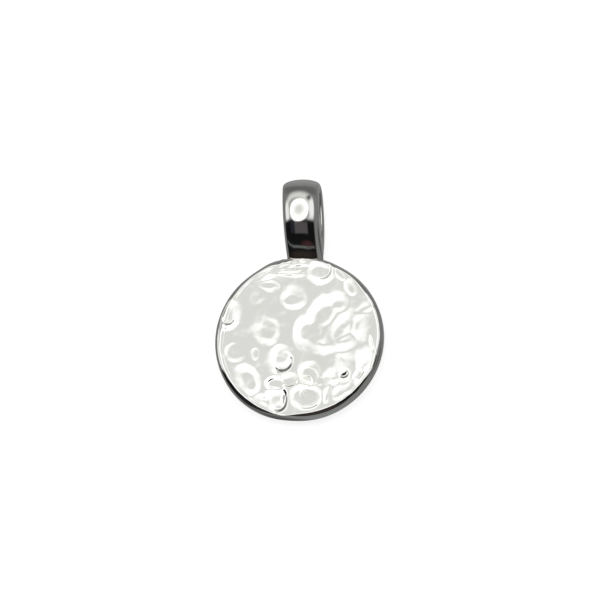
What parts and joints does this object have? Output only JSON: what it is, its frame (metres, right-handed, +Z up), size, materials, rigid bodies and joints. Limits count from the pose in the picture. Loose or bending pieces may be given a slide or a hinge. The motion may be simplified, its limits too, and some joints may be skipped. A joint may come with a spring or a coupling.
{
  "type": "disc pendant",
  "caption": "Round polished silver pendant with a hammered face, a smooth rounded rim and a plain oval loop bail fixed on its edge for a chain.",
  "frame": {"origin": "middle of the footprint, on the ground that the pendant lies on with its face up", "axes": "+Z up from that ground, +Y along the pendant towards the bail, +X to the right seen from the face; the disc is tilted about 3 degrees about X because the bail's back rests on the ground too"},
  "size_m": [0.02, 0.03, 0.0043],
  "materials": {
    "polished_silver": "hammered on the face, then polished all over to a mirror finish"
  },
  "bodies": {
    "root": {"disc_with_bail": "polished_silver"}
  },
  "joints": []
}
